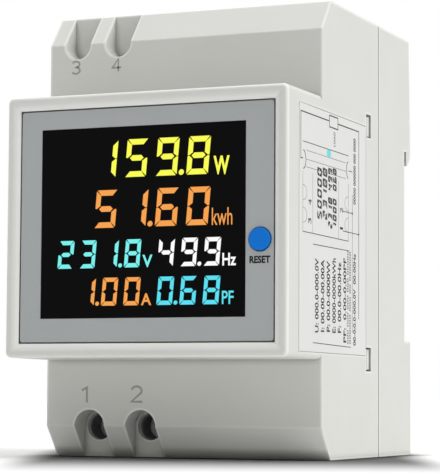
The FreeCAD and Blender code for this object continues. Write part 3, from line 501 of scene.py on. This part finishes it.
class Plates:
    """Closed thin plates, gathered into one piece."""

    def __init__(self, lay):
        self.lay = lay
        self.form = bmesh.new()

    def plate(self, points, faces=None):
        """Adds a plate from plan points; faces index them, and without faces one takes them all.

        A wall is set only where a face's edge has no neighbour.
        """
        faces = faces or [range(len(points))]
        back = [self.form.verts.new(self.lay(across, up, 0)) for across, up in points]
        front = [self.form.verts.new(self.lay(across, up, 1)) for across, up in points]
        walls = {}
        for face in faces:
            face = list(face)
            self.form.faces.new([front[i] for i in face])
            self.form.faces.new([back[i] for i in reversed(face)])
            for start, end in zip(face, face[1:] + face[:1]):
                edge = frozenset((start, end))
                if edge in walls:
                    del walls[edge]
                else:
                    walls[edge] = (start, end)
        for start, end in walls.values():
            self.form.faces.new([front[end], front[start], back[start], back[end]])

    def line(self, points, width, closed=False):
        """Adds a line of even width through the points, mitred at its bends."""
        places = [Vector(point) for point in points]
        targets = places[1:] + places[:1] if closed else places[1:]
        runs = [(b - a).normalized() for a, b in zip(places, targets)]
        left, right = [], []
        for step, point in enumerate(places):
            before = runs[step - 1] if step or closed else runs[0]
            after = runs[step] if step < len(runs) else runs[-1]
            across = Vector((-before.y - after.y, before.x + after.x)).normalized()
            reach = width / 2 / max(0.5, across.dot(Vector((-before.y, before.x))))
            left.append(tuple(point + across * reach))
            right.append(tuple(point - across * reach))
        count = len(places)
        faces = [(i, count + i, count + (i + 1) % count, (i + 1) % count) for i in range(len(runs))]
        self.plate(left + right, faces)

    def dot(self, across, up, radius, flat=1.0):
        """Adds a round, or an oval where flat isn't 1."""
        self.plate(arc(across, up, radius, 0, 360 - 360 / DOT_SIDES, DOT_SIDES - 1, flat))

    def words(self, text, left, right, low, high, weight=0.0, turned=False):
        """Adds letters that fill the given box; turned ones read upwards."""
        outline, faces = letters(text, weight)
        lows = [min(point[axis] for point in outline) for axis in (0, 1)]
        highs = [max(point[axis] for point in outline) for axis in (0, 1)]
        shares = [[(point[axis] - lows[axis]) / (highs[axis] - lows[axis]) for axis in (0, 1)]
                  for point in outline]
        if turned:
            shares = [(1 - up, across) for across, up in shares]
        points = [(left + (right - left) * across, low + (high - low) * up)
                  for across, up in shares]
        self.plate(points, faces)

    def finish(self, name, slot):
        """Makes the piece, which rides on the housing."""
        bmesh.ops.recalc_face_normals(self.form, faces=self.form.faces)
        mesh = bpy.data.meshes.new(name)
        self.form.to_mesh(mesh)
        self.form.free()
        piece = bpy.data.objects.new(name, mesh)
        bpy.context.scene.collection.objects.link(piece)
        dress(piece, slot)
        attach(piece, "housing")


def arc(across, up, radius, start, end, steps=12, flat=1.0):
    """Points on an arc, by angle in degrees from the right, anticlockwise."""
    angles = [math.radians(start + (end - start) * step / steps) for step in range(steps + 1)]
    return [(across + radius * flat * math.cos(a), up + radius * math.sin(a)) for a in angles]


def letters(text, weight):
    """The flat shapes of a text in Blender's own typeface, as points and faces.

    weight draws the outlines outwards, and makes the letters bolder.
    """
    curve = bpy.data.curves.new("lettering", "FONT")
    curve.body = text
    curve.offset = weight
    curve.resolution_u = 4
    holder = bpy.data.objects.new("lettering", curve)
    mesh = bpy.data.meshes.new_from_object(holder)
    form = bmesh.new()
    form.from_mesh(mesh)
    bmesh.ops.remove_doubles(form, verts=form.verts, dist=0.0005)
    form.verts.ensure_lookup_table()
    points = [(v.co.x, v.co.y) for v in form.verts]
    faces = [[v.index for v in face.verts] for face in form.faces]
    form.free()
    bpy.data.meshes.remove(mesh)
    bpy.data.objects.remove(holder)
    bpy.data.curves.remove(curve)
    return points, faces


# Digits made of seven segments. The point's place beside its digit, its height and its radius are
# shares of the stroke.

LIT = {
    "0": "abcdef", "1": "bc", "2": "abged", "3": "abgcd", "4": "fgbc",
    "5": "afgcd", "6": "afgecd", "7": "abc", "8": "abcdefg", "9": "abcdfg",
}
SLANT = math.tan(math.radians(5))
POINT_ASIDE = 0.95
POINT_UP = 0.55
POINT_RADIUS = 0.54


def segment_plans(width, height, stroke, gap):
    """Outlines of the seven segments of a digit whose lower left corner is the origin."""
    rung = 1.08 * stroke
    corner = 0.14 * stroke
    middle = height / 2
    notch = 0.5 * rung
    tip = 0.8 * stroke
    shoulder = 0.3 * stroke
    top = [(corner + gap, height), (width - corner - gap, height),
           (width - stroke - gap, height - rung), (stroke + gap, height - rung)]
    upright = [(0, height - corner - gap), (stroke, height - rung - gap),
               (stroke, middle + notch + gap), (shoulder, middle + gap), (0, middle + 2 * gap)]
    rung_plan = [(tip, middle), (tip + notch, middle + notch), (width - tip - notch, middle + notch),
                 (width - tip, middle), (width - tip - notch, middle - notch),
                 (tip + notch, middle - notch)]

    def mirrored(plan, across=False, up=False):
        return [(width - x if across else x, height - z if up else z) for x, z in plan]

    return {
        "a": top, "d": mirrored(top, up=True), "g": rung_plan,
        "f": upright, "b": mirrored(upright, across=True),
        "e": mirrored(upright, up=True), "c": mirrored(upright, True, True),
    }


def add_digits(plates, digits, left, low, width, height, pitch, stroke, gap=0.04, turned=False):
    """Adds slanted digits from the lower left corner of the first; a point follows its digit.

    Turned ones read upwards.
    """
    plans = segment_plans(width, height, stroke, gap)
    cell = 0

    def placed(x, z):
        x += SLANT * z + (cell - 1) * pitch
        return (left - z, low + x) if turned else (left + x, low + z)

    for sign in digits:
        if sign == ".":
            round_plan = arc(width + POINT_ASIDE * stroke, POINT_UP * stroke, POINT_RADIUS * stroke,
                             0, 360 - 360 / DOT_SIDES, DOT_SIDES - 1)
            plates.plate([placed(x, z) for x, z in round_plan])
            continue
        cell += 1
        for name in LIT[sign]:
            plates.plate([placed(x, z) for x, z in plans[name]])


BIG = {"width": 3.96, "height": 6.45, "pitch": 5.72, "stroke": 0.88}
SMALL = {"width": 2.86, "height": 4.76, "pitch": 4.21, "stroke": 0.66}

# The readings: digits with the left and low of the first and their size, then the unit with its
# box (left, right, low, high) and its weight, and the slot.
READINGS = {
    "reading_watts": ("159.8", -9.5, 47.92, BIG,
                      "W", (12.65, 15.55, 47.75, 50.9), 0.03, "display_yellow"),
    "reading_energy": ("51.60", -9.5, 39.37, BIG,
                       "kwh", (12.4, 16.1, 39.27, 42.2), 0.0, "display_orange"),
    "reading_volts": ("231.8", -16.4, 32.53, SMALL,
                      "V", (-0.3, 1.55, 32.5, 34.6), 0.02, "display_cyan"),
    "reading_hertz": ("49.9", 2.45, 32.53, SMALL,
                      "Hz", (14.35, 16.8, 32.5, 34.6), 0.02, "display_white"),
    "reading_amps": ("1.00", -12.25, 26.09, SMALL,
                     "A", (-0.5, 1.4, 26.09, 28.1), 0.02, "display_orange"),
    "reading_power_factor": ("0.68", 2.35, 26.09, SMALL,
                             "PF", (14.3, 16.4, 26.09, 28.3), 0.01, "display_blue"),
}


def make_readings():
    """The lit digits and units on the window's face, one piece for each reading."""
    for name, (digits, left, low, size, unit, box, weight, slot) in READINGS.items():
        plates = Plates(on_front(WINDOW, CELL_RISE))
        add_digits(plates, digits, left, low, **size)
        plates.words(unit, *box, weight)
        plates.finish(name, slot)


make_readings()


# Words and numerals on the casing.

RESET_WIDTH = 3.7
RESET_LOW, RESET_HIGH = 32.75, 34.0
RESET_WEIGHT = 0.04


def make_reset_word():
    """The word under the button, dark and condensed."""
    plates = Plates(on_front(PANEL, PRINT_RISE))
    button_low, button_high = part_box("reset_button")
    middle = (button_low.x + button_high.x) / 2 / MM
    plates.words("RESET", middle - RESET_WIDTH / 2, middle + RESET_WIDTH / 2,
                 RESET_LOW, RESET_HIGH, RESET_WEIGHT)
    plates.finish("reset_word", "label_ink")


# The width of a numeral's stroke, as a share of its height.
NUMERAL_LINE = 0.145


def numeral_one(across, up, height):
    """A flag and a stem, the numeral's strokes running on from one another."""
    tip = height / 2
    stem = across + 0.12 * height
    return [(across - 0.26 * height, up + 0.62 * tip), (stem, up + tip), (stem, up - tip)]


def numeral_two(across, up, height):
    """A bow that runs down to the foot."""
    tip = height / 2
    radius = 0.28 * height
    bow = arc(across, up + tip - radius, radius, 170, -35, flat=1.3)
    return bow + [(across - 1.35 * radius, up - tip), (across + 1.45 * radius, up - tip)]


def numeral_three(across, up, height):
    """A smaller bow over a larger one."""
    tip = height / 2
    upper = 0.24 * height
    lower = tip - upper
    top_bow = arc(across, up + tip - upper, upper, 150, -90, flat=1.4)
    low_bow = arc(across, up - tip + lower, lower, 90, -150, flat=1.4)
    return top_bow + low_bow[1:]


def numeral_four(across, up, height):
    """A stem, then the slope from its top and the bar across it."""
    tip = height / 2
    stem = across + 0.16 * height
    bar = up - 0.2 * height
    return [(stem, up - tip), (stem, up + tip), (across - 0.36 * height, bar),
            (stem + 0.24 * height, bar)]


# Each numeral with its middle and height.
NUMERALS = (
    (numeral_one, -18.6, 11.0, 2.65),
    (numeral_two, -8.5, 11.2, 2.7),
    (numeral_three, -21.2, 70.1, 2.25),
    (numeral_four, -13.05, 70.1, 2.25),
)


def make_numerals():
    """The terminals' numbers, in thin grey strokes on the shrouds."""
    plates = Plates(on_front(SHROUD, PRINT_RISE))
    for numeral, across, up, height in NUMERALS:
        plates.line(numeral(across, up, height), NUMERAL_LINE * height)
    plates.finish("terminal_numerals", "marking_ink")


make_reset_word()
make_numerals()


# The side label: a wiring diagram, a drawing of the meter and a table of ratings. First the widths
# of its lines, in mm.

HAIR = 0.13
THIN = 0.2
FAINT = 0.07
BOLD = 0.46

# The load's loop, the fuse in it, and the supply's line with the taps to the terminals.
LOOP_LEFT, LOOP_RIGHT = 5.85, 35.5
LOOP_TOP = 58.6
LOOP_ENTRY = 50.7
LOOP_END = 24.8
FUSE_LEFT, FUSE_RIGHT = 19.9, 24.3
FUSE_LOW, FUSE_HIGH = LOOP_TOP - 1.0, LOOP_TOP + 1.0
SUPPLY = 32.0
SUPPLY_LOW, SUPPLY_HIGH = 22.2, 46.8
SUPPLY_ENTRY = 50.95
SUPPLY_TAP = 43.5
LOOP_TAP = 40.0
TAP_LEFT = 26.9
TAP_RADIUS = 0.25

# The drawing of the meter, with the wire tunnel's rim at its upper corners.
METER_LEFT, METER_RIGHT = 6.85, 29.9
METER_LOW, METER_HIGH = 38.4, 53.6
METER_RULES = (52.2, 50.7, 49.4)
RULES_LEFT, RULES_RIGHT = METER_LEFT + 1.6, METER_RIGHT - 1.4
METER_UPRIGHTS = (METER_LEFT, 11.65, 24.7, METER_RIGHT)
UPRIGHTS_TOP = 48.6
METER_BOWS = (41.2, 45.0)
BOW_RADIUS = 1.3
LOAD_BOX = (22.1, 22.95, 54.4, 57.0)
FILLER_BOX = (32.6, 33.8, 45.2, 57.1)

# The drawing's terminal numbers: sign, middle and half the width.
SIGN_HALF = 0.75
METER_SIGNS = (
    ("3", 10.2, 40.4, 0.5),
    ("4", 10.3, 43.6, 0.5),
    ("1", 26.2, 40.4, 0.2),
    ("2", 26.2, 43.6, 0.5),
)


def make_label_diagram():
    """The load's loop through the meter, and the meter's own outline with its terminals."""
    plates = Plates(on_side(LABEL, PRINT_RISE))
    plates.line([(METER_LEFT, LOOP_ENTRY), (LOOP_LEFT, LOOP_ENTRY), (LOOP_LEFT, LOOP_TOP),
                 (FUSE_LEFT, LOOP_TOP)], THIN)
    plates.line([(FUSE_RIGHT, LOOP_TOP), (LOOP_RIGHT, LOOP_TOP), (LOOP_RIGHT, LOOP_END)], THIN)
    plates.line([(FUSE_LEFT, FUSE_LOW), (FUSE_RIGHT, FUSE_LOW),
                 (FUSE_RIGHT, FUSE_HIGH), (FUSE_LEFT, FUSE_HIGH)], THIN, closed=True)
    plates.line(arc(METER_LEFT, 50.55, 1.6, -80, 80, flat=0.9), THIN)
    plates.line(arc(METER_RIGHT, 51.05, 1.5, 100, 260, flat=0.7), THIN)
    plates.line([(METER_RIGHT, SUPPLY_ENTRY), (SUPPLY, SUPPLY_ENTRY)], HAIR)
    plates.line([(SUPPLY, SUPPLY_HIGH), (SUPPLY, SUPPLY_LOW)], HAIR)
    for across, up in ((SUPPLY, SUPPLY_TAP), (LOOP_RIGHT, LOOP_TAP)):
        plates.line([(TAP_LEFT, up), (across, up)], HAIR)
        plates.dot(across, up, TAP_RADIUS)
    for up in (METER_LOW, METER_HIGH):
        plates.line([(METER_LEFT, up), (METER_RIGHT, up)], HAIR)
    for up in METER_RULES:
        plates.line([(RULES_LEFT, up), (RULES_RIGHT, up)], FAINT)
    for across in METER_UPRIGHTS:
        plates.line([(across, METER_LOW), (across, UPRIGHTS_TOP)], FAINT)
    for up in METER_BOWS:
        plates.line(arc(METER_LEFT, up, BOW_RADIUS, -90, 90, flat=1.5), FAINT)
        plates.line(arc(METER_RIGHT, up, BOW_RADIUS, 90, 270, flat=1.5), FAINT)
    for sign, across, up, half in METER_SIGNS:
        plates.words(sign, across - SIGN_HALF, across + SIGN_HALF, up - half, up + half,
                     turned=True)
    plates.words("LOAD", *LOAD_BOX, 0.01, turned=True)
    plates.finish("label_diagram", "label_ink")


# The drawing's digits: their base line, height, pitch and bottom. A digit's width is a share of
# its pitch.
DRAWN_WIDTH = 0.76
DRAWN_DIGITS = (
    ("50000", 16.1, 2.2, 1.85, 41.0),
    ("23188", 18.8, 2.2, 1.85, 41.2),
    ("2318", 21.4, 2.1, 1.4, 39.9),
    ("499", 21.4, 2.1, 1.4, 46.4),
    ("1000", 23.6, 1.9, 1.4, 39.9),
    ("0.68", 23.6, 1.9, 1.4, 46.6),
)


def make_label_digits():
    """The drawing's own display: four rows of plain digits that read upwards."""
    plates = Plates(on_side(LABEL, PRINT_RISE))
    for digits, base, height, pitch, low in DRAWN_DIGITS:
        width = DRAWN_WIDTH * pitch
        add_digits(plates, digits, base, low, width, height, pitch, BOLD, gap=0.01, turned=True)
    plates.finish("label_digits", "label_ink")


# The rules above and below the table, a little askew as printed.
TABLE_RULES = (
    [(11.9, 36.6), (30.3, 36.7)],
    [(11.9, 19.95), (31.2, 19.65)],
)

# The table's lines of print: text, middle, height of its letters, bottom, top and weight. The
# values are rows of noughts.
TABLE_LINES = (
    ("U: 000.0-000.0V", 13.7, 1.75, 21.7, 34.3, 0.02),
    ("I: 00.00-00.00A", 16.6, 1.75, 21.9, 34.3, 0.02),
    ("P: 00.0-0000W", 19.5, 1.75, 22.0, 34.2, 0.02),
    ("E: 0000-0000kWh", 22.4, 1.75, 21.9, 34.9, 0.02),
    ("F: 00.0-00.0Hz", 25.2, 1.75, 22.0, 34.4, 0.02),
    ("PF:  0.00-0.00PF", 28.0, 1.5, 20.4, 35.3, 0.02),
    ("000 000 000 000 00000", 29.6, 0.8, 20.2, 36.6, 0.0),
    ("000000 000 00 000000", 30.8, 0.8, 20.2, 36.6, 0.0),
    ("00-0:0.0-000.0V  00-00Hz", 33.2, 1.4, 20.0, 36.4, 0.02),
)


def make_label_table():
    """The ruled table of ratings, and a line of filler beside the drawing."""
    plates = Plates(on_side(LABEL, PRINT_RISE))
    for rule in TABLE_RULES:
        plates.line(rule, HAIR)
    for text, middle, height, low, high, weight in TABLE_LINES:
        plates.words(text, middle - height / 2, middle + height / 2, low, high, weight, turned=True)
    plates.words("00000 000000 000 0000", *FILLER_BOX, 0.02, turned=True)
    plates.finish("label_table", "label_ink")


WIRE_MARK = (19.7, 52.9)
WIRE_MARK_RADIUS = 0.75


def make_label_mark():
    """The small cyan oval on the drawing, where the measured wire goes in."""
    plates = Plates(on_side(LABEL, PRINT_RISE))
    plates.dot(*WIRE_MARK, WIRE_MARK_RADIUS, flat=1.4)
    plates.finish("label_wire_mark", "label_mark")


make_label_diagram()
make_label_digits()
make_label_table()
make_label_mark()


# Floor, background and lamps.

# The floor, in mm, and the painted shadow on it along axes turned by the camera's yaw: where it is
# full, and how far it fades out from there. The painted contact shadow reaches less far and is darker.
SHADE_LOW = (-28, -22)
SHADE_HIGH = (31, 30)
SHADE_ASIDE = 9
SHADE_BEHIND = 45
SHADE_AHEAD = 74
CONTACT_REACH = 8
FLOOR_HALF = 6000
FLOOR_WHITE = "FAFAFA"
FLOOR_FIBRES = "F5F5F5"
# Colours of the painted shadow's pool and of its darker painted contact shadow.
FLOOR_PAINTED_SHADOW = "747474"
FLOOR_PAINTED_CONTACT_SHADOW = "303030"


def make_floor():
    """A pale floor that runs into the white background and keeps the meter's shadow.

    Round the meter the floor is painted darker where the camera sees it: a soft pool of painted
    shadow square to the camera's yaw, deep to the front and narrow at the sides, as under a wide lamp
    that hangs above and behind, and a darker painted contact shadow close to the meter.
    """
    material, tree, shader = new_tree("floor_matt_white")
    place = add(tree, "TexCoord").outputs["Object"]
    fibres = add(tree, "TexNoise", {"Vector": place, "Scale": per_mm(2), "Detail": 3.0})
    tone = add(tree, "Mix", {0: fibres.outputs["Fac"], 6: linear(FLOOR_WHITE),
                             7: linear(FLOOR_FIBRES)}, data_type="RGBA")
    turned = add(tree, "Mapping", {"Vector": place, "Rotation": (0, 0, -math.radians(CAMERA_YAW))})
    nearer = add(tree, "VectorMath", {0: Vector((*SHADE_LOW, 0)) * MM, 1: turned.outputs[0]},
                 operation="SUBTRACT")
    farther = add(tree, "VectorMath", {0: turned.outputs[0], 1: Vector((*SHADE_HIGH, 0)) * MM},
                  operation="SUBTRACT")
    nearer_share = add(tree, "VectorMath", {0: nearer.outputs[0],
                                            1: (per_mm(SHADE_ASIDE), per_mm(SHADE_AHEAD), 0)},
                       operation="MULTIPLY")
    farther_share = add(tree, "VectorMath", {0: farther.outputs[0],
                                             1: (per_mm(SHADE_ASIDE), per_mm(SHADE_BEHIND), 0)},
                        operation="MULTIPLY")
    larger = add(tree, "VectorMath", {0: nearer_share.outputs[0], 1: farther_share.outputs[0]},
                 operation="MAXIMUM")
    share = add(tree, "VectorMath", {0: larger.outputs[0], 1: (0, 0, 0)}, operation="MAXIMUM")
    reached = add(tree, "VectorMath", {0: share.outputs[0]}, operation="LENGTH")
    shade = add(tree, "MapRange", {"Value": reached.outputs["Value"], "To Min": 1.0, "To Max": 0.0},
                interpolation_type="SMOOTHSTEP")
    # Painted shadow: the floor's colour darkens in a soft pool round the meter.
    pool = add(tree, "Mix", {0: shade.outputs[0], 6: tone.outputs[2], 7: linear(FLOOR_PAINTED_SHADOW)},
               data_type="RGBA")
    # Painted contact shadow: darkest where the meter is close.
    contact = nearness(tree, CONTACT_REACH, none=0.95, full=0.5, most=1.0)
    dark = add(tree, "Mix", {0: contact, 6: pool.outputs[2], 7: linear(FLOOR_PAINTED_CONTACT_SHADOW)},
               data_type="RGBA")
    # Only the camera sees the painted shadow; other rays see the even floor.
    seen = add(tree, "LightPath").outputs["Is Camera Ray"]
    colour = add(tree, "Mix", {0: seen, 6: tone.outputs[2], 7: dark.outputs[2]}, data_type="RGBA")
    tree.links.new(colour.outputs[2], shader.inputs["Base Color"])
    shader.inputs["Roughness"].default_value = 0.9
    shader.inputs["Specular IOR Level"].default_value = 0.0
    mesh = bpy.data.meshes.new("floor")
    half = FLOOR_HALF * MM
    corners = [(-half, -half, 0), (half, -half, 0), (half, half, 0), (-half, half, 0)]
    mesh.from_pydata(corners, [], [(0, 1, 2, 3)])
    floor = bpy.data.objects.new("floor", mesh)
    bpy.context.scene.collection.objects.link(floor)
    floor.data.materials.append(material)


AMBIENT = 0.2


def make_world():
    """White to the camera and to mirrors and glass, and an even low light to the surfaces."""
    world = bpy.data.worlds.new("white_studio")
    bpy.context.scene.world = world
    world.use_nodes = True
    tree = world.node_tree
    rays = add(tree, "LightPath").outputs
    seen = add(tree, "Math", {0: rays["Is Camera Ray"], 1: rays["Is Glossy Ray"]}, operation="MAXIMUM")
    seen = add(tree, "Math", {0: seen.outputs[0], 1: rays["Is Transmission Ray"]}, operation="MAXIMUM")
    strength = add(tree, "MapRange", {"Value": seen.outputs[0], "To Min": AMBIENT, "To Max": 1.0})
    background = tree.nodes["Background"]
    background.inputs["Color"].default_value = (1, 1, 1, 1)
    tree.links.new(strength.outputs[0], background.inputs["Strength"])


# Each soft lamp: its turn round the meter from the front, its height and its spread in degrees,
# and its strength.
LAMPS = {
    "overhead": (0, 85, 50, 1.85),
    "right": (90, 35, 40, 1.5),
    "front": (0, 45, 20, 0.14),
    "behind": (-160, 40, 40, 0.3),
}


def make_lamps():
    """Wide lamps far away, which light all of the meter evenly."""
    for name, (azimuth, elevation, spread, strength) in LAMPS.items():
        light = bpy.data.lights.new(name, "SUN")
        light.energy = strength
        light.angle = math.radians(spread)
        lamp = bpy.data.objects.new(name, light)
        bpy.context.scene.collection.objects.link(lamp)
        around, above = math.radians(azimuth), math.radians(elevation)
        towards = Vector((math.sin(around) * math.cos(above), -math.cos(around) * math.cos(above),
                          math.sin(above)))
        lamp.rotation_euler = towards.to_track_quat("Z", "Y").to_euler()


make_floor()
make_world()
make_lamps()
bpy.context.scene.view_settings.view_transform = "Standard"
